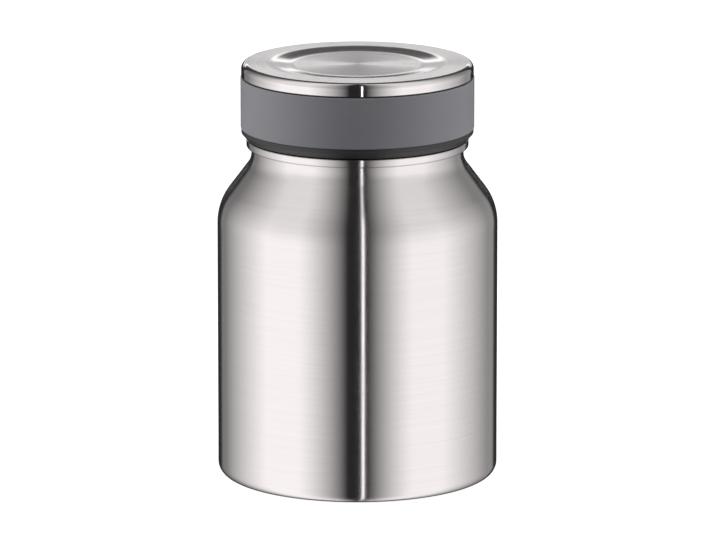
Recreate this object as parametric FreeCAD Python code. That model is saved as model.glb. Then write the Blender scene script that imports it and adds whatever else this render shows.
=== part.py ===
import FreeCAD, Part
import math
import os

# A vacuum-insulated food jar with a screw lid. Millimetres, +Z up.
# The origin is on the jar's axis, at the flat ring that the jar stands on.
# Nearly every piece is turned about that axis, so most pieces are given by
# half of their section: a list of corners (radius, height, rounding).

# Outer wall of the jar
body_r = 48.0
shell_wall = 0.6
base_corner_round = 5.4
foot_width = 1.4
foot_inner_round = 1.2
shoulder_z = 94.3  # where the straight side would meet the cone
cone_height = 15.6
shoulder_round = 19.4
cove_round = 15.0
waist_height = 4.4  # from the top of the cone to the bead
bead_height = 2.9
bead_under_round = 1.3
bead_top_round = 0.6

# Neck, its bead and its thread
neck_r = 35.6
waist_step = 0.7  # how far the waist stands out from the neck
bead_step = 2.4  # how far the bead stands out from the neck
fold_round = 0.6  # inside bends of the sheet

thread_lead_height = 9.0  # rise in one turn
thread_starts = 2
thread_turns = 1.0
thread_height = 1.1
thread_foot_width = 2.2
thread_crest_width = 1.0
thread_bite = 0.3  # how deep a ridge is rooted in its wall
thread_bore_gap = 0.25
thread_flank_gap = 0.3
neck_thread_below_lip = 2.6
lid_thread_above_edge = 0.9
run_out_r = 22.0  # cutter that fades the ends of the lid's ridges

# Bottom of the vessel
plate_wall = 0.6
plate_z = 2.2
dimple_r = 7.0
dimple_slope = 2.5
dimple_depth = 2.0
vacuum_hole_r = 1.5
plug_r = 3.2
plug_height = 1.3
plug_nub_gap = 0.1
cover_wall = 0.5
cover_z = 1.0
cover_gap = 0.2
cover_rim_width = 5.4  # flat rim outside the crown
cover_crown_slope = 4.0
cover_crown_rise = 0.3
adhesive_margin = 0.6  # from the slope of the cover's crown
adhesive_width = 2.6

# Inner wall of the vessel
liner_sheet = 0.5
vacuum_gap = 8.0
neck_gap = 0.8
cone_gap = 4.0  # between the two walls, square to the cone
base_vacuum = 6.2
liner_corner_round = 6.0
liner_seam_height = 1.0  # straight wall of the base above its corner
liner_shoulder_round = 14.0
liner_neck_round = 12.0
lip_round = 1.0

# Foil and getter in the vacuum
foil_gap = 0.1
foil_wall = 0.15
foil_edge_margin = 1.0
foil_below_shoulder = 8.0
getter_offset = 18.0
pellet_r = 4.0
pellet_height = 2.2
getter_fit = 0.2
getter_sheet = 0.4
getter_flange = 2.0

# Lid
lid_gap = 0.3  # between the bead and the lid
core_wall = 2.15  # outside the thread's bore
ring_step = 0.6  # how far the bottom ring stands out from the core
ring_height = 3.55
ring_chamfer_height = 1.95
ring_chamfer_width = 1.8
deck_wall = 1.8
lid_cavity_height = 5.0
core_upper_wall = 3.4
core_top_gap = 0.6  # filled by the cap's adhesive
cap_sheet = 0.5
cap_fit = 0.1
cap_side_height = 4.3
cap_round = 2.8
dish_outer_r = 29.5
dish_inner_r = 22.6
dish_depth = 0.6
dish_round = 30.0
band_fit = 0.05
band_wall = 0.8
band_gap = 0.6  # dark line between the band and the cap
band_edge_round = 0.3
cap_adhesive_edge = 0.15  # bare margin on each side of the adhesive

# Food side of the lid
plug_wall = 1.6
plug_gap = 1.5  # between the plug and the mouth
plug_depth = 7.0  # below the lip
plug_round = 2.5
plug_flange_wall = 1.2
plug_fit = 0.1
plug_lip_step = 0.8
plug_lip_height = 0.6
plug_lip_gap = 0.2
foam_gap = 0.1

# Seal
seal_height = 1.8
seal_lip_gap = 0.15
seal_deck_gap = 0.05
seal_fit = 0.2
seal_outer_step = 1.0  # beyond the neck
seal_round = 0.5

# Heights and radii that follow from the sizes above
cone_top_z = shoulder_z + cone_height
bead_z = cone_top_z + waist_height
bead_top_z = bead_z + bead_height
waist_r = neck_r + waist_step
bead_r = neck_r + bead_step

shell_inner_r = body_r - shell_wall
foot_outer_r = body_r - base_corner_round
recess_r = foot_outer_r - foot_width - foot_inner_round
plate_top_z = plate_z + plate_wall
plate_rim_r = recess_r - plate_wall
dimple_z = plate_z + dimple_depth
crown_foot_r = plate_rim_r - cover_rim_width

liner_outer_r = shell_inner_r - vacuum_gap
liner_inner_r = liner_outer_r - liner_sheet
mouth_outer_r = neck_r - shell_wall - neck_gap
mouth_r = mouth_outer_r - liner_sheet
liner_floor_z = plate_top_z + base_vacuum
liner_seam_z = liner_floor_z + liner_corner_round + liner_seam_height

thread_pitch = thread_lead_height / thread_starts
neck_thread_rise = thread_lead_height * thread_turns
mid_ridge_width = (thread_foot_width + thread_crest_width) / 2
lid_z = bead_top_z + lid_gap
lid_thread_z = lid_z + lid_thread_above_edge + thread_foot_width / 2
neck_thread_z = lid_thread_z + mid_ridge_width + thread_flank_gap
lip_z = neck_thread_z + neck_thread_rise + neck_thread_below_lip

lid_bore_r = neck_r + thread_height + thread_bore_gap
core_r = lid_bore_r + core_wall
ring_r = core_r + ring_step
core_inner_r = core_r - core_upper_wall
cap_r = core_r + cap_fit + cap_sheet
cap_inner_round = max(cap_round - cap_sheet, 0)
ring_top_z = lid_z + ring_height
seal_z = lip_z + seal_lip_gap
deck_z = seal_z + seal_height + seal_deck_gap
deck_top_z = deck_z + deck_wall
cap_under_z = deck_top_z + plug_flange_wall + lid_cavity_height
lid_top_z = cap_under_z + cap_sheet
core_top_z = cap_under_z - core_top_gap
cap_edge_z = lid_top_z - cap_side_height
band_top_z = cap_edge_z - band_gap
band_r = core_r + band_fit + band_wall
# the flange's corner and the corner that it sits in can't be rounder than half the flange
flange_round = min(fold_round, plug_flange_wall * 0.49)

lid_plug_r = mouth_r - plug_gap
lid_plug_z = lip_z - plug_depth
lid_plug_inner_r = lid_plug_r - plug_wall
plug_lip_top_z = seal_z - plug_lip_gap

tiny = 1e-6  # shorter than any edge
axis_point = FreeCAD.Vector(0, 0, 0)
up = FreeCAD.Vector(0, 0, 1)


def leg(start, end):
    """Length and unit direction from one corner to the next."""
    dr = end[0] - start[0]
    dz = end[1] - start[1]
    length = math.hypot(dr, dz)
    return length, (dr / length, dz / length)


def turn_between(before, after):
    """Signed turn from one direction to the next, in radians."""
    cross = before[0] * after[1] - before[1] * after[0]
    dot = before[0] * after[0] + before[1] * after[1]
    return math.atan2(cross, dot)


def point(r, z):
    return FreeCAD.Vector(r, 0, z)


def rounded_face(corners):
    """A flat face in the XZ plane from a closed ring of corners (r, z) or (r, z, rounding)."""
    count = len(corners)
    starts = []
    ends = []
    middles = []
    for i in range(count):
        here = corners[i]
        length_in, way_in = leg(corners[i - 1], here)
        length_out, way_out = leg(here, corners[(i + 1) % count])
        turn = turn_between(way_in, way_out)
        rounding = here[2] if len(here) > 2 else 0
        half_turn = math.tan(abs(turn) / 2)
        # a rounding can take no more than half of the sides that it joins
        back = min(rounding * half_turn, 0.49 * min(length_in, length_out))
        start = (here[0] - way_in[0] * back, here[1] - way_in[1] * back)
        end = (here[0] + way_out[0] * back, here[1] + way_out[1] * back)
        middle = None
        if back > tiny:
            radius = back / half_turn
            bisector = leg((0, 0), (way_out[0] - way_in[0], way_out[1] - way_in[1]))[1]
            inset = radius / math.cos(turn / 2) - radius
            middle = (here[0] + bisector[0] * inset, here[1] + bisector[1] * inset)
        starts.append(start)
        ends.append(end)
        middles.append(middle)
    edges = []
    for i in range(count):
        if middles[i]:
            arc = Part.Arc(point(*starts[i]), point(*middles[i]), point(*ends[i]))
            edges.append(arc.toShape())
        following = (i + 1) % count
        if leg_is_open(ends[i], starts[following]):
            line = Part.LineSegment(point(*ends[i]), point(*starts[following]))
            edges.append(line.toShape())
    return Part.Face(Part.Wire(edges))


def leg_is_open(start, end):
    return math.hypot(end[0] - start[0], end[1] - start[1]) > tiny


def turned(corners):
    """A solid turned about the axis from half of its section."""
    return rounded_face(corners).revolve(axis_point, up, 360)


def sheet_section(path, wall):
    """Closed section of a sheet that lies to the left of its path, going along it."""
    ways = [leg(path[i], path[i + 1])[1] for i in range(len(path) - 1)]
    other_side = []
    for i, here in enumerate(path):
        before = ways[max(i - 1, 0)]
        after = ways[min(i, len(ways) - 1)]
        turn = turn_between(before, after)
        normal_in = (-before[1], before[0])
        normal_out = (-after[1], after[0])
        share = wall / (1 + math.cos(turn))
        r = here[0] + (normal_in[0] + normal_out[0]) * share
        z = here[1] + (normal_in[1] + normal_out[1]) * share
        rounding = here[2] if len(here) > 2 else 0
        if rounding:
            rounding = max(rounding - math.copysign(wall, turn), 0)
        other_side.append((r, z, rounding))
    return list(path) + other_side[::-1]


def pressed(path, wall):
    """A turned piece of sheet metal."""
    return turned(sheet_section(path, wall))


def thread_ridges(wall_r, way, start_z):
    """Ridges of a right-hand thread, way = 1 outwards from the wall or -1 inwards."""
    crest = thread_crest_width / 2
    flank_slope = (thread_foot_width - thread_crest_width) / 2 / thread_height
    root = crest + flank_slope * (thread_height + thread_bite)
    root_r = wall_r - way * thread_bite
    crest_r = wall_r + way * thread_height
    section = [(root_r, -root), (crest_r, -crest), (crest_r, crest), (root_r, root)]
    profile = Part.makePolygon([point(r, z) for r, z in section + section[:1]])
    helix = Part.makeHelix(thread_lead_height, neck_thread_rise, wall_r)
    ridge = Part.Wire(helix.Edges).makePipeShell([profile], True, True)
    ridge.translate(FreeCAD.Vector(0, 0, start_z))
    end_angle = 360 * thread_turns
    ridge = faded(ridge, wall_r, way, 0, start_z)
    ridge = faded(ridge, wall_r, way, end_angle, start_z + neck_thread_rise)
    ridges = []
    for i in range(thread_starts):
        copy = ridge.copy()
        copy.rotate(axis_point, up, i * 360 / thread_starts)
        ridges.append(copy)
    return ridges


def faded(ridge, wall_r, way, angle, z):
    """The ridge with one end sloped down to its wall."""
    low = z - thread_pitch
    if way > 0:
        cutter = Part.makeBox(thread_height * 4, wall_r, 2 * thread_pitch)
        cutter.translate(FreeCAD.Vector(wall_r, -wall_r / 2, low))
    else:
        middle = FreeCAD.Vector(wall_r - run_out_r, 0, low)
        cutter = Part.makeCylinder(run_out_r, 2 * thread_pitch, middle)
    cutter.rotate(axis_point, up, angle)
    return ridge.cut(cutter)


def outer_shell():
    path = [
        (recess_r, plate_top_z),
        (recess_r, 0, foot_inner_round),
        (body_r, 0, base_corner_round),
        (body_r, shoulder_z, shoulder_round),
        (waist_r, cone_top_z, cove_round),
        (waist_r, bead_z, fold_round),
        (bead_r, bead_z, bead_under_round),
        (bead_r, bead_top_z, bead_top_round),
        (neck_r, bead_top_z, fold_round),
        (neck_r, lip_z - liner_sheet),
    ]
    shell = pressed(path, shell_wall)
    return shell.fuse(thread_ridges(neck_r, 1, neck_thread_z))


def base_plate():
    path = [
        (plate_rim_r, cover_z),
        (plate_rim_r, plate_z, fold_round),
        (dimple_r + dimple_slope, plate_z, fold_round),
        (dimple_r, dimple_z, fold_round),
        (vacuum_hole_r, dimple_z),
    ]
    return turned(sheet_section(path[::-1], plate_wall))


def vacuum_plug():
    nub_r = vacuum_hole_r - plug_nub_gap
    low = dimple_z - plug_height
    corners = [
        (0, low),
        (plug_r, low, plug_height / 2),
        (plug_r, dimple_z),
        (nub_r, dimple_z),
        (nub_r, dimple_z + plate_wall),
        (0, dimple_z + plate_wall),
    ]
    return turned(corners)


def base_cover():
    edge_r = plate_rim_r - cover_gap
    crown_z = cover_z + cover_crown_rise
    path = [
        (0, crown_z),
        (crown_foot_r - cover_crown_slope, crown_z, fold_round),
        (crown_foot_r, cover_z, fold_round),
        (edge_r, cover_z),
    ]
    return pressed(path, cover_wall)


def cover_adhesive():
    inner_r = crown_foot_r + adhesive_margin
    return ring(inner_r, inner_r + adhesive_width, cover_z + cover_wall, plate_z)


def ring(inner_r, outer_r, low, high):
    return turned([(inner_r, low), (outer_r, low), (outer_r, high), (inner_r, high)])


def cone_between_walls():
    """Heights where the liner's cone meets its side and its neck."""
    slope = cone_height / (body_r - waist_r)
    drop = (cone_gap + shell_wall) * math.hypot(1, slope)
    low = shoulder_z + (body_r - liner_outer_r) * slope - drop
    high = low + (liner_outer_r - mouth_outer_r) * slope
    return low, high


def liner_wall():
    cone_low, cone_high = cone_between_walls()
    path = [
        (neck_r, lip_z),
        (mouth_r, lip_z, lip_round),
        (mouth_r, cone_high, liner_neck_round),
        (liner_inner_r, cone_low, liner_shoulder_round),
        (liner_inner_r, liner_seam_z),
    ]
    return pressed(path, liner_sheet)


def liner_base():
    path = [
        (liner_inner_r, liner_seam_z),
        (liner_inner_r, liner_floor_z + liner_sheet, liner_corner_round - liner_sheet),
        (0, liner_floor_z + liner_sheet),
    ]
    return pressed(path, liner_sheet)


def radiation_shield():
    cone_low, cone_high = cone_between_walls()
    inner_r = liner_outer_r + foil_gap
    low = liner_seam_z + foil_edge_margin
    return ring(inner_r, inner_r + foil_wall, low, cone_low - foil_below_shoulder)


def getter_clip():
    cup_r = pellet_r + getter_fit
    depth = pellet_height + getter_fit + getter_sheet
    path = [
        (0, liner_floor_z - depth),
        (cup_r + getter_sheet, liner_floor_z - depth, getter_sheet),
        (cup_r + getter_sheet, liner_floor_z - getter_sheet),
        (cup_r + getter_flange, liner_floor_z - getter_sheet),
        (cup_r + getter_flange, liner_floor_z),
        (cup_r, liner_floor_z),
        (cup_r, liner_floor_z - depth + getter_sheet),
        (0, liner_floor_z - depth + getter_sheet),
    ]
    clip = turned(path)
    clip.translate(FreeCAD.Vector(getter_offset, 0, 0))
    return clip


def getter_pellet():
    low = liner_floor_z - getter_fit - pellet_height
    middle = FreeCAD.Vector(getter_offset, 0, low)
    return Part.makeCylinder(pellet_r, pellet_height, middle)


def lid_cap():
    path = [
        (cap_r, cap_edge_z),
        (cap_r, lid_top_z, cap_round),
        (dish_outer_r, lid_top_z, dish_round),
        (dish_inner_r, lid_top_z - dish_depth, dish_round),
        (0, lid_top_z - dish_depth),
    ]
    return pressed(path, cap_sheet)


def lid_band():
    inner_r = core_r + band_fit
    corners = [
        (inner_r, ring_top_z),
        (band_r, ring_top_z, band_edge_round),
        (band_r, band_top_z, band_edge_round),
        (inner_r, band_top_z),
    ]
    return turned(corners)


def lid_core():
    chamfer_r = ring_r - ring_chamfer_width
    hole_r = lid_plug_r + plug_fit
    corners = [
        (lid_bore_r, lid_z, band_edge_round),
        (chamfer_r, lid_z, band_edge_round),
        (ring_r, lid_z + ring_chamfer_height, band_edge_round),
        (ring_r, ring_top_z, band_edge_round),
        (core_r, ring_top_z),
        (core_r, core_top_z, cap_inner_round),
        (core_inner_r, core_top_z),
        (core_inner_r, deck_top_z, flange_round),
        (hole_r, deck_top_z),
        (hole_r, deck_z),
        (lid_bore_r, deck_z, fold_round),
    ]
    core = turned(corners)
    return core.fuse(thread_ridges(lid_bore_r, -1, lid_thread_z))


def lid_plug():
    floor = lid_plug_z + plug_wall
    flange_r = core_inner_r - plug_fit
    flange_top_z = deck_top_z + plug_flange_wall
    corners = [
        (0, lid_plug_z),
        (lid_plug_r, lid_plug_z, plug_round),
        (lid_plug_r, plug_lip_top_z - plug_lip_height),
        (lid_plug_r + plug_lip_step, plug_lip_top_z - plug_lip_height / 2),
        (lid_plug_r + plug_lip_step, plug_lip_top_z),
        (lid_plug_r, plug_lip_top_z),
        (lid_plug_r, deck_top_z),
        (flange_r, deck_top_z, flange_round),
        (flange_r, flange_top_z),
        (lid_plug_inner_r, flange_top_z),
        (lid_plug_inner_r, floor, plug_round - plug_wall),
        (0, floor),
    ]
    return turned(corners)


def lid_insulation():
    floor = lid_plug_z + plug_wall + foam_gap
    lower_r = lid_plug_inner_r - foam_gap
    upper_r = core_inner_r - foam_gap
    step_z = deck_top_z + plug_flange_wall + foam_gap
    top = cap_under_z - dish_depth - foam_gap
    corners = [
        (0, floor),
        (lower_r, floor, plug_round - plug_wall),
        (lower_r, step_z),
        (upper_r, step_z),
        (upper_r, top),
        (0, top),
    ]
    return turned(corners)


def cap_adhesive():
    inner_r = core_inner_r + cap_adhesive_edge
    outer_r = core_r - cap_inner_round - cap_adhesive_edge
    return ring(inner_r, outer_r, core_top_z, cap_under_z)


def seal_ring():
    inner_r = lid_plug_r + seal_fit
    outer_r = neck_r + seal_outer_step
    top = seal_z + seal_height
    corners = [
        (inner_r, seal_z, seal_round),
        (outer_r, seal_z, seal_round),
        (outer_r, top, seal_round),
        (inner_r, top, seal_round),
    ]
    return turned(corners)


def room_under_lid():
    cone_low, cone_high = cone_between_walls()
    floor = liner_floor_z + liner_sheet
    corners = [
        (0, floor),
        (liner_inner_r, floor, liner_corner_round - liner_sheet),
        (liner_inner_r, cone_low, liner_shoulder_round),
        (mouth_r, cone_high, liner_neck_round),
        (mouth_r, lid_plug_z),
        (0, lid_plug_z),
    ]
    return turned(corners)


pieces = [
    outer_shell,
    base_plate,
    vacuum_plug,
    base_cover,
    cover_adhesive,
    liner_wall,
    liner_base,
    radiation_shield,
    getter_clip,
    getter_pellet,
    lid_cap,
    lid_band,
    lid_core,
    lid_plug,
    lid_insulation,
    cap_adhesive,
    seal_ring,
]

os.makedirs("parts", exist_ok=True)
for piece in pieces:
    shape = piece()
    solids = shape.Solids
    name = piece.__name__
    print(name, "valid", shape.isValid(), "solids", len(solids), "cm3", round(shape.Volume / 1000, 3))
    shape.exportStep("parts/" + name + ".step")

print("overall height", lid_top_z, "across", 2 * body_r)
print("room under the lid, cm3", round(room_under_lid().Volume / 1000))
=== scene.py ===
import bmesh
import bpy
import math
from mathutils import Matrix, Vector


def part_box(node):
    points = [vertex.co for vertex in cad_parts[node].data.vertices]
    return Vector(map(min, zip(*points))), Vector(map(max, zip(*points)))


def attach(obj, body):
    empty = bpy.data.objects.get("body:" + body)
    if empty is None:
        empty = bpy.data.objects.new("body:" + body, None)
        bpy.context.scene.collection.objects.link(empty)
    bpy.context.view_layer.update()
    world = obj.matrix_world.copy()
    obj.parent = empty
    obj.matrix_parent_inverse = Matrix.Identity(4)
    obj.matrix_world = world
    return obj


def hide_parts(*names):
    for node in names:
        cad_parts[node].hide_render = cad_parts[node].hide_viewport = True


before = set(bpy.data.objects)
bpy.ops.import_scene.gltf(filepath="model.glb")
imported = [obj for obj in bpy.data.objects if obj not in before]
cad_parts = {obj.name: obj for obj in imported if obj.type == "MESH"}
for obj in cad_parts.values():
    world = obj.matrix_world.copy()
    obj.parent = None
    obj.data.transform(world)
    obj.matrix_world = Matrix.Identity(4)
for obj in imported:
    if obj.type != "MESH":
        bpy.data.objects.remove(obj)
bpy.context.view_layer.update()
mm = 0.001


def top(node):
    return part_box(node)[1][2] / mm  # heights are in millimetres from here on


def bottom(node):
    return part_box(node)[0][2] / mm


# node building

def setInput(tree, socket, value):
    if isinstance(value, bpy.types.NodeSocket):
        tree.links.new(value, socket)
    else:
        socket.default_value = value


def addNode(tree, kind, values=None, settings=None):
    # values go to the sockets, by name or by number, and settings to the node itself
    node = tree.nodes.new(kind)
    for key, setting in (settings or {}).items():
        setattr(node, key, setting)
    for key, value in (values or {}).items():
        setInput(tree, node.inputs[key], value)
    return node


def doMath(tree, operation, *values):
    node = addNode(tree, "ShaderNodeMath", dict(enumerate(values)), {"operation": operation})
    return node.outputs[0]


def multiply(tree, first, *others):
    for other in others:
        first = doMath(tree, "MULTIPLY", first, other)
    return first


def ramp(tree, value, fromLow, fromHigh, toLow=0.0, toHigh=1.0, smooth=False):
    values = dict(enumerate((value, fromLow, fromHigh, toLow, toHigh)))
    node = addNode(tree, "ShaderNodeMapRange", values,
                   {"interpolation_type": "SMOOTHSTEP" if smooth else "LINEAR"})
    return node.outputs[0]


def newGroup(name, kind, inputs, outputs):
    tree = bpy.data.node_groups.new(name, kind)
    for label, socketType, default in inputs:
        socket = tree.interface.new_socket(label, in_out="INPUT", socket_type=socketType)
        if default is not None:
            socket.default_value = default
    for label, socketType in outputs:
        tree.interface.new_socket(label, in_out="OUTPUT", socket_type=socketType)
    start = tree.nodes.new("NodeGroupInput").outputs
    end = tree.nodes.new("NodeGroupOutput").inputs
    return tree, start, end


# finishes shared by several materials

def objectPlace(tree):
    return addNode(tree, "ShaderNodeTexCoord").outputs["Object"]


def addNoise(tree, place, scale, detail, roughness, depth=None):
    values = {"Vector": place, "Scale": scale, "Detail": detail, "Roughness": roughness}
    if depth is not None:
        values["W"] = depth
    dimensions = "3D" if depth is None else "4D"
    return addNode(tree, "ShaderNodeTexNoise", values, {"noise_dimensions": dimensions}).outputs[0]


def axisDistance(tree, parts):
    squares = [doMath(tree, "POWER", parts[axis], 2.0) for axis in "XY"]
    return doMath(tree, "SQRT", doMath(tree, "ADD", *squares))


brushing = dict(fineDetail=7.0, fineRoughness=0.72, coarseScale=0.11, coarseDetail=3.0, coarseShare=0.06,
                scuffScale=38.0, scuffDetail=4.0, scuffLow=0.35, scuffHigh=0.75, roughness=0.6)
moulding = dict(grainDetail=2.0, grainRoughness=0.5, markDetail=5.0, markRoughness=0.65, markLow=0.3,
                markHigh=0.7)


def makeTurnedGrain():
    # brushing that runs round the axis, on sides and on flat tops alike
    tree, given, put = newGroup(
        "turnedGrain", "ShaderNodeTree",
        [("Line Density", "NodeSocketFloat", 1500.0), ("Line Spread", "NodeSocketFloat", 22.0),
         ("Contrast", "NodeSocketFloat", 1.0)],
        [("Height", "NodeSocketFloat"), ("Shade", "NodeSocketFloat"), ("Scuff", "NodeSocketFloat")])
    b = brushing
    place = objectPlace(tree)
    parts = addNode(tree, "ShaderNodeSeparateXYZ", {"Vector": place}).outputs
    outward = multiply(tree, axisDistance(tree, parts), given["Line Density"])
    spot = {axis: multiply(tree, parts[axis], given["Line Spread"]) for axis in "XY"}
    spot["Z"] = multiply(tree, parts["Z"], given["Line Density"])
    lineSpot = addNode(tree, "ShaderNodeCombineXYZ", spot).outputs[0]
    coarseSpot = addNode(tree, "ShaderNodeVectorMath", {0: lineSpot, "Scale": b["coarseScale"]},
                         {"operation": "SCALE"}).outputs[0]
    lines = addNoise(tree, lineSpot, 1.0, b["fineDetail"], b["fineRoughness"], outward)
    coarse = addNoise(tree, coarseSpot, 1.0, b["coarseDetail"], b["roughness"],
                      multiply(tree, outward, b["coarseScale"]))
    scuff = addNoise(tree, place, b["scuffScale"], b["scuffDetail"], b["roughness"])
    mixed = doMath(tree, "MULTIPLY_ADD", coarse, b["coarseShare"], multiply(tree, lines, 1 - b["coarseShare"]))
    shade = multiply(tree, doMath(tree, "SUBTRACT", mixed, 0.5), given["Contrast"])
    tree.links.new(lines, put["Height"])
    tree.links.new(doMath(tree, "ADD", shade, 0.5), put["Shade"])
    tree.links.new(ramp(tree, scuff, b["scuffLow"], b["scuffHigh"], smooth=True), put["Scuff"])
    return tree


def makeMouldGrain():
    # the fine spark-eroded skin of a moulding, with faint handling marks
    tree, given, put = newGroup(
        "mouldGrain", "ShaderNodeTree",
        [("Grain Scale", "NodeSocketFloat", 4000.0), ("Mark Scale", "NodeSocketFloat", 60.0)],
        [("Height", "NodeSocketFloat"), ("Shade", "NodeSocketFloat")])
    m = moulding
    place = objectPlace(tree)
    grain = addNoise(tree, place, given["Grain Scale"], m["grainDetail"], m["grainRoughness"])
    marks = addNoise(tree, place, given["Mark Scale"], m["markDetail"], m["markRoughness"])
    tree.links.new(grain, put["Height"])
    tree.links.new(ramp(tree, marks, m["markLow"], m["markHigh"], smooth=True), put["Shade"])
    return tree


def makeRingMask():
    # 1 between two radii about the axis
    tree, given, put = newGroup(
        "ringMask", "ShaderNodeTree",
        [("Inner Radius", "NodeSocketFloat", 0.02), ("Outer Radius", "NodeSocketFloat", 0.03),
         ("Soft Edge", "NodeSocketFloat", 0.001)],
        [("Mask", "NodeSocketFloat")])
    inner, outer, soft = given["Inner Radius"], given["Outer Radius"], given["Soft Edge"]
    parts = addNode(tree, "ShaderNodeSeparateXYZ", {"Vector": objectPlace(tree)}).outputs
    across = axisDistance(tree, parts)
    past = ramp(tree, across, doMath(tree, "SUBTRACT", inner, soft), inner, smooth=True)
    within = ramp(tree, across, outer, doMath(tree, "ADD", outer, soft), 1.0, 0.0, smooth=True)
    tree.links.new(multiply(tree, past, within), put["Mask"])
    return tree


turnedGrain = makeTurnedGrain()
mouldGrain = makeMouldGrain()
ringMask = makeRingMask()
print("finishes ready")


# materials

def startMaterial(name):
    material = bpy.data.materials.new(name)
    material.use_nodes = True
    tree = material.node_tree
    return material, tree, tree.nodes["Principled BSDF"]


def useGroup(tree, group, values):
    node = tree.nodes.new("ShaderNodeGroup")
    node.node_tree = group
    for key, value in values.items():
        setInput(tree, node.inputs[key], value)
    return node.outputs


def blendColours(tree, factor, first, second):
    node = addNode(tree, "ShaderNodeMix", {"Factor": factor, "A": (*first, 1), "B": (*second, 1)},
                   {"data_type": "RGBA"})
    return node.outputs["Result"]


def varyRoughness(tree, shade, low, high, look):
    spread = look["roughnessSpread"]
    return ramp(tree, shade, low, high, look["roughness"] - spread, look["roughness"] + spread)


def dressShader(tree, shader, grain, roughness, look):
    bump = addNode(tree, "ShaderNodeBump", {"Height": grain["Height"], "Strength": look["bump"],
                                            "Distance": look["bumpDepth"]})
    tree.links.new(blendColours(tree, grain["Shade"], look["dark"], look["light"]), shader.inputs["Base Color"])
    tree.links.new(roughness, shader.inputs["Roughness"])
    tree.links.new(bump.outputs[0], shader.inputs["Normal"])


def roundTheAxis(tree):
    # the direction of the brushing at each point
    cross = addNode(tree, "ShaderNodeVectorMath", {0: (0, 0, 1), 1: objectPlace(tree)},
                    {"operation": "CROSS_PRODUCT"})
    return addNode(tree, "ShaderNodeVectorMath", {0: cross.outputs[0]}, {"operation": "NORMALIZE"}).outputs[0]


def brushedSteel(name, look):
    material, tree, shader = startMaterial(name)
    grain = useGroup(tree, turnedGrain, {"Line Density": look["lineDensity"], "Line Spread": look["lineSpread"],
                                         "Contrast": look["contrast"]})
    roughness = varyRoughness(tree, grain["Shade"], 0.3, 0.7, look)
    roughness = doMath(tree, "MULTIPLY_ADD", grain["Scuff"], look["scuff"], roughness)
    if "smoothRing" in look:
        ring = look["smoothRing"]
        mask = useGroup(tree, ringMask, {"Inner Radius": ring["inner"] * mm, "Outer Radius": ring["outer"] * mm,
                                         "Soft Edge": ring["edge"] * mm})["Mask"]
        roughness = doMath(tree, "MULTIPLY_ADD", mask, -ring["saved"], roughness)
    dressShader(tree, shader, grain, roughness, look)
    tree.links.new(roundTheAxis(tree), shader.inputs["Tangent"])
    shader.inputs["Metallic"].default_value = 1.0
    shader.inputs["Anisotropic"].default_value = look["anisotropy"]
    shader.inputs["Anisotropic Rotation"].default_value = 0.25  # the gleam spreads across the brushing
    return material


def mouldedPlastic(name, look):
    material, tree, shader = startMaterial(name)
    grain = useGroup(tree, mouldGrain, {"Grain Scale": look["grainScale"], "Mark Scale": look["markScale"]})
    dressShader(tree, shader, grain, varyRoughness(tree, grain["Shade"], 0.0, 1.0, look), look)
    shader.inputs["Specular IOR Level"].default_value = look["specular"]
    return material


shellFinish = dict(lineDensity=1900.0, lineSpread=20.0, contrast=0.9, dark=(0.56, 0.528, 0.528),
                   light=(0.68, 0.643, 0.643), roughness=0.17, roughnessSpread=0.015, scuff=0.02,
                   bump=0.25, bumpDepth=0.00001, anisotropy=1.0)
capFinish = dict(shellFinish, lineDensity=1100.0, contrast=2.6, roughness=0.15, lineSpread=12.0,
                 smoothRing=dict(inner=22.0, outer=50.0, edge=0.8, saved=0.08))
vesselFinish = dict(shellFinish, contrast=0.7, roughness=0.3, anisotropy=0.5, bump=0.15)
foilFinish = dict(vesselFinish, dark=(0.74, 0.74, 0.75), light=(0.84, 0.84, 0.85))
bandFinish = dict(grainScale=3500.0, markScale=55.0, dark=(0.127, 0.125, 0.138), light=(0.137, 0.135, 0.149),
                  roughness=0.45, roughnessSpread=0.04, bump=0.12, bumpDepth=0.00002, specular=0.5)
blackFinish = dict(grainScale=3000.0, markScale=70.0, dark=(0.004, 0.004, 0.005), light=(0.009, 0.009, 0.01),
                   roughness=0.38, roughnessSpread=0.06, bump=0.15, bumpDepth=0.00002, specular=0.5)
sealFinish = dict(grainScale=2000.0, markScale=90.0, dark=(0.5, 0.51, 0.5), light=(0.6, 0.61, 0.6),
                  roughness=0.5, roughnessSpread=0.06, bump=0.1, bumpDepth=0.00002, specular=0.4)
foamFinish = dict(sealFinish, grainScale=1400.0, dark=(0.78, 0.77, 0.72), light=(0.86, 0.85, 0.8),
                  roughness=0.8, bump=0.5, bumpDepth=0.0003, specular=0.2)
getterFinish = dict(sealFinish, dark=(0.08, 0.08, 0.085), light=(0.16, 0.16, 0.165), roughness=0.75)
solderFinish = dict(sealFinish, dark=(0.2, 0.16, 0.1), light=(0.3, 0.24, 0.16), roughness=0.15)
glueFinish = dict(sealFinish, dark=(0.6, 0.57, 0.45), light=(0.72, 0.7, 0.6), roughness=0.45)

shellSteel = brushedSteel("shellSteel", shellFinish)
capSteel = brushedSteel("capSteel", capFinish)
vesselSteel = brushedSteel("vesselSteel", vesselFinish)
foilMetal = brushedSteel("foilMetal", foilFinish)
bandGrey = mouldedPlastic("bandGrey", bandFinish)
lidBlack = mouldedPlastic("lidBlack", blackFinish)
sealSilicone = mouldedPlastic("sealSilicone", sealFinish)
foamWhite = mouldedPlastic("foamWhite", foamFinish)
getterGrey = mouldedPlastic("getterGrey", getterFinish)
solderGlass = mouldedPlastic("solderGlass", solderFinish)
glue = mouldedPlastic("glue", glueFinish)
print("materials ready")


# outlines, in millimetres: radius from the axis and height above the table

def sideOf(first, second):
    dr = second[0] - first[0]
    dz = second[1] - first[1]
    length = math.hypot(dr, dz)
    return length, (dr / length, dz / length)


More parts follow.
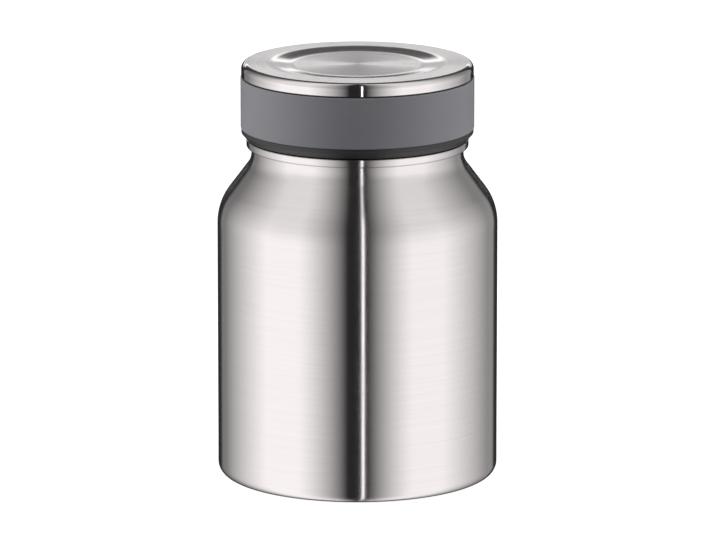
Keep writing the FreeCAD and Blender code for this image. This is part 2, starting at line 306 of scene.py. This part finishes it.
def turnOf(wayIn, wayOut):
    cross = wayIn[0] * wayOut[1] - wayIn[1] * wayOut[0]
    along = wayIn[0] * wayOut[0] + wayIn[1] * wayOut[1]
    return math.atan2(cross, along)


def smoothOutline(corners, arcStep=0.8, arcTurn=12, guard=0.2):
    # a corner (radius, height, rounding) becomes an arc, and one without rounding stays a point
    points = []
    for i, here in enumerate(corners):
        lengthIn, wayIn = sideOf(corners[i - 1], here)
        lengthOut, wayOut = sideOf(here, corners[(i + 1) % len(corners)])
        turn = turnOf(wayIn, wayOut)
        rounding = here[2] if len(here) > 2 else 0
        halfTurn = math.tan(abs(turn) / 2)
        back = min(rounding * halfTurn, 0.49 * min(lengthIn, lengthOut))
        if back < 1e-4:
            points.append(here[:2])
            continue
        radius = back / halfTurn
        side = math.copysign(1, turn)
        start = (here[0] - wayIn[0] * back, here[1] - wayIn[1] * back)
        centre = (start[0] - wayIn[1] * radius * side, start[1] + wayIn[0] * radius * side)
        arm = (start[0] - centre[0], start[1] - centre[1])
        steps = max(3, math.ceil(abs(turn) * radius / arcStep), math.ceil(math.degrees(abs(turn)) / arcTurn))
        if lengthIn - back > 3 * guard:  # a close ring beside an arc keeps the flat side flat
            points.append((start[0] - wayIn[0] * guard, start[1] - wayIn[1] * guard))
        for step in range(steps + 1):
            angle = turn * step / steps
            points.append((centre[0] + arm[0] * math.cos(angle) - arm[1] * math.sin(angle),
                           centre[1] + arm[0] * math.sin(angle) + arm[1] * math.cos(angle)))
        if lengthOut - back > 3 * guard:
            points.append((points[-1][0] + wayOut[0] * guard, points[-1][1] + wayOut[1] * guard))
    return points


def sheetSection(path, wall):
    # both faces of a sheet that lies to the left of its path
    ways = [sideOf(path[i], path[i + 1])[1] for i in range(len(path) - 1)]
    far = []
    for i, here in enumerate(path):
        wayIn = ways[max(i - 1, 0)]
        wayOut = ways[min(i, len(ways) - 1)]
        turn = turnOf(wayIn, wayOut)
        share = wall / (1 + math.cos(turn))
        rounding = here[2] if len(here) > 2 else 0
        if rounding:
            rounding = max(rounding - math.copysign(wall, turn), 0)
        far.append((here[0] - (wayIn[1] + wayOut[1]) * share, here[1] + (wayIn[0] + wayOut[0]) * share, rounding))
    return list(path) + far[::-1]


# the trees that make the meshes

pathRadius = 0.01  # circle that carries the outlines round the axis
fineSegments = 288  # for the pieces that show their outline


def finishTree(tree, given, put, mesh):
    real = addNode(tree, "GeometryNodeRealizeInstances", {"Geometry": mesh})
    smooth = addNode(tree, "GeometryNodeSetShadeSmooth", {"Geometry": real.outputs["Geometry"]})
    dressed = addNode(tree, "GeometryNodeSetMaterial",
                      {"Geometry": smooth.outputs["Geometry"], "Material": given["Material"]})
    tree.links.new(dressed.outputs["Geometry"], put["Geometry"])


def setUpright(tree, curve):
    return addNode(tree, "GeometryNodeSetCurveNormal", {"Curve": curve}, {"mode": "Z_UP"}).outputs["Curve"]


def makeTurningTree():
    tree, given, put = newGroup(
        "turning", "GeometryNodeTree",
        [("Geometry", "NodeSocketGeometry", None), ("Segments", "NodeSocketInt", 192),
         ("Path Radius", "NodeSocketFloat", pathRadius), ("Material", "NodeSocketMaterial", None)],
        [("Geometry", "NodeSocketGeometry")])
    outline = addNode(tree, "GeometryNodeMeshToCurve", {"Mesh": given["Geometry"]})
    circle = addNode(tree, "GeometryNodeCurvePrimitiveCircle",
                     {"Resolution": given["Segments"], "Radius": given["Path Radius"]})
    spun = addNode(tree, "GeometryNodeCurveToMesh", {"Curve": setUpright(tree, circle.outputs["Curve"]),
                                                     "Profile Curve": outline.outputs["Curve"]})
    finishTree(tree, given, put, spun.outputs["Mesh"])
    return tree


def makeThreadTree():
    tree, given, put = newGroup(
        "thread", "GeometryNodeTree",
        [("Geometry", "NodeSocketGeometry", None), ("Wall Radius", "NodeSocketFloat", 0.03),
         ("Turns", "NodeSocketFloat", 1.0), ("Lead", "NodeSocketFloat", 0.009),
         ("Start Height", "NodeSocketFloat", 0.1), ("Starts", "NodeSocketInt", 2),
         ("Steps", "NodeSocketInt", 160), ("Run Out", "NodeSocketFloat", 0.06),
         ("Tip Size", "NodeSocketFloat", 0.05), ("Material", "NodeSocketMaterial", None)],
        [("Geometry", "NodeSocketGeometry")])
    ridge = addNode(tree, "GeometryNodeMeshToCurve", {"Mesh": given["Geometry"]})
    helix = addNode(tree, "GeometryNodeCurveSpiral",
                    {"Resolution": given["Steps"], "Rotations": given["Turns"],
                     "Start Radius": given["Wall Radius"], "End Radius": given["Wall Radius"],
                     "Height": multiply(tree, given["Turns"], given["Lead"]), "Reverse": True})
    along = addNode(tree, "GeometryNodeSplineParameter").outputs["Factor"]
    fromEnd = doMath(tree, "MINIMUM", along, doMath(tree, "SUBTRACT", 1.0, along))
    size = ramp(tree, doMath(tree, "DIVIDE", fromEnd, given["Run Out"]), 0.0, 1.0, given["Tip Size"], 1.0,
                smooth=True)
    swept = addNode(tree, "GeometryNodeCurveToMesh",
                    {"Curve": setUpright(tree, helix.outputs["Curve"]), "Profile Curve": ridge.outputs["Curve"],
                     "Scale": size, "Fill Caps": True})
    whole = addNode(tree, "GeometryNodeGeometryToInstance", {0: swept.outputs["Mesh"]})
    copies = addNode(tree, "GeometryNodeDuplicateElements",
                     {"Geometry": whole.outputs[0], "Amount": given["Starts"]}, {"domain": "INSTANCE"})
    share = doMath(tree, "DIVIDE", 2 * math.pi, given["Starts"])
    spin = addNode(tree, "ShaderNodeCombineXYZ", {"Z": multiply(tree, copies.outputs["Duplicate Index"], share)})
    turned = addNode(tree, "GeometryNodeRotateInstances",
                     {"Instances": copies.outputs["Geometry"], "Rotation": spin.outputs[0]})
    lift = addNode(tree, "ShaderNodeCombineXYZ", {"Z": given["Start Height"]})
    placed = addNode(tree, "GeometryNodeTranslateInstances",
                     {"Instances": turned.outputs["Instances"], "Translation": lift.outputs[0]})
    finishTree(tree, given, put, placed.outputs["Instances"])
    return tree


turningTree = makeTurningTree()
threadTree = makeThreadTree()


def linkObject(name, data):
    thing = bpy.data.objects.new(name, data)
    bpy.context.scene.collection.objects.link(thing)
    return thing


def bake(name, points, ring, tree, values, sharpAngle=32):
    # the outline goes through the tree, and a plain mesh comes out
    count = len(points)
    links = [(i, (i + 1) % count) for i in range(count if ring else count - 1)]
    outline = bpy.data.meshes.new(name + "Outline")
    outline.from_pydata([(x * mm, y * mm, 0) for x, y in points], links, [])
    maker = linkObject(name + "Maker", outline)
    modifier = maker.modifiers.new("tree", "NODES")
    modifier.node_group = tree
    for item in tree.interface.items_tree:
        if item.name in values:
            modifier[item.identifier] = values[item.name]
    graph = bpy.context.evaluated_depsgraph_get()
    mesh = bpy.data.meshes.new_from_object(maker.evaluated_get(graph), depsgraph=graph)
    bpy.data.objects.remove(maker)
    work = bmesh.new()
    work.from_mesh(mesh)
    bmesh.ops.remove_doubles(work, verts=work.verts, dist=1e-7)
    bmesh.ops.recalc_face_normals(work, faces=work.faces)
    work.to_mesh(mesh)
    work.free()
    mesh.name = name
    mesh.set_sharp_from_angle(angle=math.radians(sharpAngle))
    return linkObject(name, mesh)


def turnPiece(name, corners, material, segments=192):
    points = smoothOutline(corners)
    ring = min(corners[0][0], corners[-1][0]) > 0  # an outline that ends on the axis stays open
    shifted = [(r - pathRadius / mm, -z) for r, z in points]
    return bake(name, shifted, ring, turningTree,
                {"Segments": segments, "Path Radius": pathRadius, "Material": material})


def place(piece, body, node, slot):
    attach(piece, body)
    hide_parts(node)
    return piece


# outer wall of the jar

shell = dict(radius=48.0, wall=0.6, baseCorner=5.4, footWidth=1.4, footRound=1.2, recessTop=2.8,
             shoulder=94.3, coneHeight=15.6, shoulderRound=19.4, coveRound=15.0, waistRadius=36.3,
             neckRadius=35.6, beadRadius=38.0, beadBottom=114.3, beadTop=117.2, beadUnder=1.3,
             beadOver=0.6, fold=0.6)


def makeShell():
    s = shell
    recessRadius = s["radius"] - s["baseCorner"] - s["footWidth"] - s["footRound"]
    path = [
        (recessRadius, s["recessTop"]),
        (recessRadius, 0, s["footRound"]),
        (s["radius"], 0, s["baseCorner"]),
        (s["radius"], s["shoulder"], s["shoulderRound"]),
        (s["waistRadius"], s["shoulder"] + s["coneHeight"], s["coveRound"]),
        (s["waistRadius"], s["beadBottom"], s["fold"]),
        (s["beadRadius"], s["beadBottom"], s["beadUnder"]),
        (s["beadRadius"], s["beadTop"], s["beadOver"]),
        (s["neckRadius"], s["beadTop"], s["fold"]),
        (s["neckRadius"], top("outer_shell")),
    ]
    piece = turnPiece("outerShell", sheetSection(path, s["wall"]), shellSteel, fineSegments)
    place(piece, "jar", "outer_shell", "brushed_steel")


makeShell()

# thread on the neck and in the lid

thread = dict(lead=9.0, turns=1.0, starts=2, steps=160, height=1.1, footWidth=2.2, crestWidth=1.0,
              crestRound=0.25, bite=0.3, neckStart=121.4, lidStart=119.5, lidBore=36.95, runOut=0.06,
              tipSize=0.05)


def makeThread(name, wallRadius, way, startHeight, material):
    # way is 1 for ridges that stand out from the wall and -1 for ridges that stand in
    t = thread
    crest = t["crestWidth"] / 2
    slope = (t["footWidth"] - t["crestWidth"]) / 2 / t["height"]
    root = crest + slope * (t["height"] + t["bite"])
    section = [
        (-way * t["bite"], -root),
        (way * t["height"], -crest, t["crestRound"]),
        (way * t["height"], crest, t["crestRound"]),
        (-way * t["bite"], root),
    ]
    points = smoothOutline(section, arcStep=0.2, guard=1.0)
    values = {"Wall Radius": wallRadius * mm, "Turns": t["turns"], "Lead": t["lead"] * mm,
              "Start Height": startHeight * mm, "Starts": t["starts"], "Steps": t["steps"],
              "Run Out": t["runOut"], "Tip Size": t["tipSize"], "Material": material}
    return bake(name, points, True, threadTree, values, sharpAngle=60)


neckThread = makeThread("neckThread", shell["neckRadius"], 1, thread["neckStart"], shellSteel)
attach(neckThread, "jar")
lidThread = makeThread("lidThread", thread["lidBore"], -1, thread["lidStart"], lidBlack)
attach(lidThread, "lid")
print("jar wall and threads ready")

# inner vessel

liner = dict(radius=38.9, sheet=0.5, mouthRadius=33.7, lipRadius=35.6, coneLow=98.1, coneHigh=105.03,
             shoulderRound=14.0, neckRound=12.0, lipRound=1.0, baseCorner=5.5)


def makeLiner():
    s = liner
    lip = top("liner_wall")
    seam = bottom("liner_wall")
    path = [
        (s["lipRadius"], lip),
        (s["mouthRadius"], lip, s["lipRound"]),
        (s["mouthRadius"], s["coneHigh"], s["neckRound"]),
        (s["radius"], s["coneLow"], s["shoulderRound"]),
        (s["radius"], seam),
    ]
    wall = turnPiece("linerWall", sheetSection(path, s["sheet"]), vesselSteel)
    place(wall, "jar", "liner_wall", "vessel_steel")
    floorHeight = bottom("liner_base") + s["sheet"]
    basePath = [(s["radius"], seam), (s["radius"], floorHeight, s["baseCorner"]), (0, floorHeight)]
    base = turnPiece("linerBase", sheetSection(basePath, s["sheet"]), vesselSteel)
    place(base, "jar", "liner_base", "vessel_steel")


makeLiner()

# disc under the jar

cover = dict(radius=39.2, rimRadius=34.0, crownRadius=30.0, crownRise=0.3, sheet=0.5, fold=0.6)


def makeCover():
    s = cover
    low = bottom("base_cover")
    path = [
        (0, low + s["crownRise"]),
        (s["crownRadius"], low + s["crownRise"], s["fold"]),
        (s["rimRadius"], low, s["fold"]),
        (s["radius"], low),
    ]
    piece = turnPiece("baseCover", sheetSection(path, s["sheet"]), shellSteel)
    place(piece, "jar", "base_cover", "brushed_steel")


makeCover()
print("inner vessel and base ready")

# steel top of the lid

cap = dict(radius=39.7, sheet=0.5, rimRound=2.8, dishOuter=29.5, dishInner=22.6, dishDepth=0.6,
           dishRound=30.0)


def makeCap():
    s = cap
    high = top("lid_cap")
    path = [
        (s["radius"], bottom("lid_cap")),
        (s["radius"], high, s["rimRound"]),
        (s["dishOuter"], high, s["dishRound"]),
        (s["dishInner"], high - s["dishDepth"], s["dishRound"]),
        (0, high - s["dishDepth"]),
    ]
    piece = turnPiece("lidCap", sheetSection(path, s["sheet"]), capSteel, fineSegments)
    place(piece, "lid", "lid_cap", "brushed_steel")


makeCap()

# grey band round the lid

band = dict(radius=39.95, inner=39.15, edge=0.3, innerEdge=0.1)


def makeBand():
    s = band
    low, high = bottom("lid_band"), top("lid_band")
    corners = [
        (s["inner"], low, s["innerEdge"]),
        (s["radius"], low, s["edge"]),
        (s["radius"], high, s["edge"]),
        (s["inner"], high, s["innerEdge"]),
    ]
    piece = turnPiece("lidBand", corners, bandGrey, fineSegments)
    place(piece, "lid", "lid_band", "band_grey")


makeBand()

# black body of the lid

core = dict(radius=39.1, ringRadius=39.7, ringEdge=0.2, boreRadius=thread["lidBore"], boreRound=0.6,
            innerRadius=35.7, holeRadius=32.3, chamferHeight=1.95, chamferWidth=1.8, edge=0.3,
            underCapRound=2.3, sealGap=0.05, deckWall=1.8, deckRound=0.5)


def makeCore():
    s = core
    low, high = bottom("lid_core"), top("lid_core")
    ringTop = bottom("lid_band")
    deck = top("seal_ring") + s["sealGap"]
    corners = [
        (s["boreRadius"], low, s["edge"]),
        (s["ringRadius"] - s["chamferWidth"], low, s["edge"]),
        (s["ringRadius"], low + s["chamferHeight"], s["edge"]),
        (s["ringRadius"], ringTop, s["ringEdge"]),
        (s["radius"], ringTop),
        (s["radius"], high, s["underCapRound"]),
        (s["innerRadius"], high),
        (s["innerRadius"], deck + s["deckWall"], s["deckRound"]),
        (s["holeRadius"], deck + s["deckWall"]),
        (s["holeRadius"], deck),
        (s["boreRadius"], deck, s["boreRound"]),
    ]
    piece = turnPiece("lidCore", corners, lidBlack, fineSegments)
    place(piece, "lid", "lid_core", "lid_black")


makeCore()

# cup on the food side of the lid, with a small lip that holds the seal

plug = dict(radius=32.2, wall=1.6, bottomRound=2.5, insideRound=0.9, flangeRadius=35.6, flangeWall=1.2,
            flangeRound=0.5, lipStep=0.8, lipHeight=0.6, lipGap=0.2)


def makePlug():
    s = plug
    low, high = bottom("lid_plug"), top("lid_plug")
    inner = s["radius"] - s["wall"]
    lipRadius = s["radius"] + s["lipStep"]
    lipTop = bottom("seal_ring") - s["lipGap"]
    flangeLow = high - s["flangeWall"]
    corners = [
        (0, low),
        (s["radius"], low, s["bottomRound"]),
        (s["radius"], lipTop - s["lipHeight"], 0.2),
        (lipRadius, lipTop - s["lipHeight"] / 2, 0.12),
        (lipRadius, lipTop, 0.1),
        (s["radius"], lipTop),
        (s["radius"], flangeLow),
        (s["flangeRadius"], flangeLow, s["flangeRound"]),
        (s["flangeRadius"], high),
        (inner, high),
        (inner, low + s["wall"], s["insideRound"]),
        (0, low + s["wall"]),
    ]
    piece = turnPiece("lidPlug", corners, lidBlack)
    place(piece, "lid", "lid_plug", "lid_black")


makePlug()

# gasket, with two soft ribs that close on the jar's lip

seal = dict(inner=32.4, outer=36.6, backRound=0.5, ribHeight=0.35, ribStart=1.3, ribEnd=2.7, ribSlope=0.4,
            rimWidth=0.9, rimFlat=0.6)


def makeSeal():
    s = seal
    low, high = bottom("seal_ring"), top("seal_ring")
    face = low + s["ribHeight"]
    ribIn, ribOut = s["inner"] + s["ribStart"], s["inner"] + s["ribEnd"]
    corners = [
        (s["inner"], face, 0.4),
        (ribIn, face, 0.2),
        (ribIn + s["ribSlope"], low, 0.25),
        (ribOut - s["ribSlope"], low, 0.25),
        (ribOut, face, 0.2),
        (s["outer"] - s["rimWidth"], face, 0.2),
        (s["outer"] - s["rimFlat"], low, 0.2),
        (s["outer"], face, 0.3),
        (s["outer"], high, s["backRound"]),
        (s["inner"], high, s["backRound"]),
    ]
    piece = turnPiece("sealRing", corners, sealSilicone)
    place(piece, "seal", "seal_ring", "silicone")


makeSeal()
print("lid ready")

# pieces that keep their own shape and get a finish

ownShape = {
    "base_plate": vesselSteel,
    "vacuum_plug": solderGlass,
    "cover_adhesive": glue,
    "radiation_shield": foilMetal,
    "getter_clip": vesselSteel,
    "getter_pellet": getterGrey,
    "lid_insulation": foamWhite,
    "cap_adhesive": glue,
}
for node, material in ownShape.items():
    for slot in bpy.data.objects[node].material_slots:
        slot.material = material
print("hidden pieces dressed")


# floor

def meshFrom(name, work):
    mesh = bpy.data.meshes.new(name)
    work.to_mesh(mesh)
    work.free()
    return mesh


floorLook = dict(half=6.0, shade=0.3, glow=0.86)


def makeFloor():
    half = floorLook["half"]
    work = bmesh.new()
    work.faces.new([work.verts.new((x, y, 0))
                    for x, y in ((-half, -half), (half, -half), (half, half), (-half, half))])
    floor = linkObject("floor", meshFrom("floor", work))
    material, tree, shader = startMaterial("paleFloor")
    tree.nodes.remove(shader)
    matt = addNode(tree, "ShaderNodeBsdfDiffuse", {"Color": (*[floorLook["shade"]] * 3, 1)})
    seen = addNode(tree, "ShaderNodeLightPath").outputs["Is Camera Ray"]
    glow = addNode(tree, "ShaderNodeEmission", {"Strength": multiply(tree, seen, floorLook["glow"])})
    both = addNode(tree, "ShaderNodeAddShader", {0: matt.outputs[0], 1: glow.outputs[0]})
    fromBelow = addNode(tree, "ShaderNodeNewGeometry").outputs["Backfacing"]
    clear = addNode(tree, "ShaderNodeBsdfTransparent")
    oneSided = addNode(tree, "ShaderNodeMixShader", {0: fromBelow, 1: both.outputs[0], 2: clear.outputs[0]})
    tree.links.new(oneSided.outputs[0], tree.nodes["Material Output"].inputs["Surface"])
    floor.data.materials.append(material)
    floor.visible_glossy = False


makeFloor()

# light tent round the jar: its angles are in degrees, from the front and from the horizon

studio = dict(
    left=dict(level=1.5, full=50.0, fallStart=80.0, fallEnd=151.0, least=0.17),
    right=dict(level=1.44, full=46.0, fallStart=74.0, fallEnd=154.0, least=0.25),
    tentRadius=5.0, overheadGap=0.3, ground=0.03,
    start=8.0, riseCurve=1.3, edgeDark=148.0, edgeSoft=5.0,
    dimFrom=-1.0, dimTo=22.0, dimTop=0.76,
    stripAngle=4.5, stripHalf=0.6, stripSoft=0.3, stripLevel=3.0, stripTop=63.0, stripTopSoft=5.0,
    backStart=158.0, backSoft=8.0, backLevel=1.65, backLow=5.5, backHigh=14.0, backEdge=2.0, backLeast=0.05,
    backMiddle=10.9, backDip=0.37, dipHalf=1.5, dipSoft=1.5)


def makeTent():
    # a soft wall of light left and right, a thin strip in front and a low band behind
    s = studio
    work = bmesh.new()
    bmesh.ops.create_uvsphere(work, u_segments=48, v_segments=24, radius=s["tentRadius"])
    bmesh.ops.reverse_faces(work, faces=work.faces)
    tent = linkObject("lightTent", meshFrom("lightTent", work))
    material, tree, shader = startMaterial("tentLight")
    tree.nodes.remove(shader)
    way = addNode(tree, "ShaderNodeVectorMath", {0: objectPlace(tree)}, {"operation": "NORMALIZE"})
    parts = addNode(tree, "ShaderNodeSeparateXYZ", {"Vector": way.outputs[0]}).outputs
    front = multiply(tree, doMath(tree, "POWER", parts["Z"], 2.0), s["overheadGap"])
    front = doMath(tree, "SUBTRACT", front, parts["Y"])
    azimuth = doMath(tree, "DEGREES", doMath(tree, "ARCTAN2", parts["X"], front))
    height = doMath(tree, "DEGREES", doMath(tree, "ARCSINE", parts["Z"]))
    aside = doMath(tree, "ABSOLUTE", azimuth)
    onRight = doMath(tree, "GREATER_THAN", azimuth, 0.0)

    def bySide(key):
        return ramp(tree, onRight, 0.0, 1.0, s["left"][key], s["right"][key])

    def farFrom(value, middle):
        return doMath(tree, "ABSOLUTE", doMath(tree, "SUBTRACT", value, middle))

    rise = ramp(tree, aside, s["start"], bySide("full"), 1.0, 0.0)
    rise = doMath(tree, "SUBTRACT", 1.0, doMath(tree, "POWER", rise, s["riseCurve"]))
    fall = ramp(tree, aside, bySide("fallStart"), bySide("fallEnd"), 1.0, 0.0)
    fall = doMath(tree, "MAXIMUM", fall, bySide("least"))
    edge = ramp(tree, aside, s["edgeDark"], s["edgeDark"] + s["edgeSoft"], 1.0, 0.0)
    dimmed = ramp(tree, height, s["dimFrom"], s["dimTo"], 1.0, s["dimTop"])
    walls = multiply(tree, rise, fall, edge, bySide("level"), dimmed)

    strip = ramp(tree, farFrom(azimuth, s["stripAngle"]), s["stripHalf"], s["stripHalf"] + s["stripSoft"],
                 s["stripLevel"], 0.0)
    stripTop = ramp(tree, height, s["stripTop"], s["stripTop"] + s["stripTopSoft"], 1.0, 0.0)
    strip = multiply(tree, strip, stripTop)

    behind = ramp(tree, aside, s["backStart"], s["backStart"] + s["backSoft"])
    backLow = ramp(tree, height, s["backLow"], s["backLow"] + s["backEdge"])
    backHigh = ramp(tree, height, s["backHigh"], s["backHigh"] + s["backEdge"], 1.0, s["backLeast"])
    backDip = ramp(tree, farFrom(height, s["backMiddle"]), s["dipHalf"], s["dipHalf"] + s["dipSoft"],
                   s["backDip"], 1.0, smooth=True)
    back = multiply(tree, behind, backLow, backHigh, backDip)

    total = doMath(tree, "MULTIPLY_ADD", back, s["backLevel"], walls)
    total = doMath(tree, "ADD", doMath(tree, "ADD", total, strip), s["ground"])
    glow = addNode(tree, "ShaderNodeEmission", {"Color": (1, 1, 1, 1), "Strength": total})
    tree.links.new(glow.outputs[0], tree.nodes["Material Output"].inputs["Surface"])
    tent.data.materials.append(material)
    tent.visible_camera = False


makeTent()


# backdrop, lamps and camera

def makeBackdrop():
    # plain white to the camera, and to gloss and glass past the tent, with no light on matt pieces
    world = bpy.data.worlds.new("backdrop")
    world.use_nodes = True
    bpy.context.scene.world = world
    tree = world.node_tree
    rays = addNode(tree, "ShaderNodeLightPath").outputs
    seen = doMath(tree, "MAXIMUM", rays["Is Camera Ray"], rays["Is Glossy Ray"])
    seen = doMath(tree, "MAXIMUM", seen, rays["Is Transmission Ray"])
    white = tree.nodes["Background"]
    white.inputs["Color"].default_value = (1, 1, 1, 1)
    tree.links.new(seen, white.inputs["Strength"])


makeBackdrop()

view = dict(axisShift=0.18, aim=70.8, distance=2402.6, elevation=12.6, focalPixels=7000, imageWidth=716,
            sensorWidth=36, clipEnd=50)

lamps = {
    "topLight": dict(place=(0.0, -0.4, 1.6), size=1.6, watts=14.0),
    "leftLight": dict(place=(-1.45, 0.39, 0.35), size=0.9, watts=27.0),
    "rightLight": dict(place=(1.45, 0.39, 0.35), size=0.9, watts=22.0),
}


def makeLamps():
    # soft lamps for the matt pieces alone, because the steel mirrors the tent
    for name, look in lamps.items():
        light = bpy.data.lights.new(name, "AREA")
        light.shape = "DISK"
        light.size = look["size"]
        light.energy = look["watts"]
        lamp = linkObject(name, light)
        lamp.location = look["place"]
        aim = Vector((0, 0, view["aim"])) * mm - lamp.location
        lamp.rotation_euler = aim.to_track_quat("-Z", "Y").to_euler()
        lamp.visible_glossy = False


def makeCamera():
    tilt = math.radians(view["elevation"])
    target = Vector((view["axisShift"], 0, view["aim"])) * mm
    away = Vector((0, -math.cos(tilt), math.sin(tilt))) * view["distance"] * mm
    lens = bpy.data.cameras.new("camera")
    lens.sensor_width = view["sensorWidth"]
    lens.lens = view["sensorWidth"] * view["focalPixels"] / view["imageWidth"]
    lens.clip_end = view["clipEnd"]
    camera = linkObject("camera", lens)
    camera.location = target + away
    camera.rotation_euler = (-away).to_track_quat("-Z", "Y").to_euler()
    bpy.context.scene.camera = camera


makeLamps()
makeCamera()
bpy.context.scene.view_settings.view_transform = "Standard"
print("studio ready")
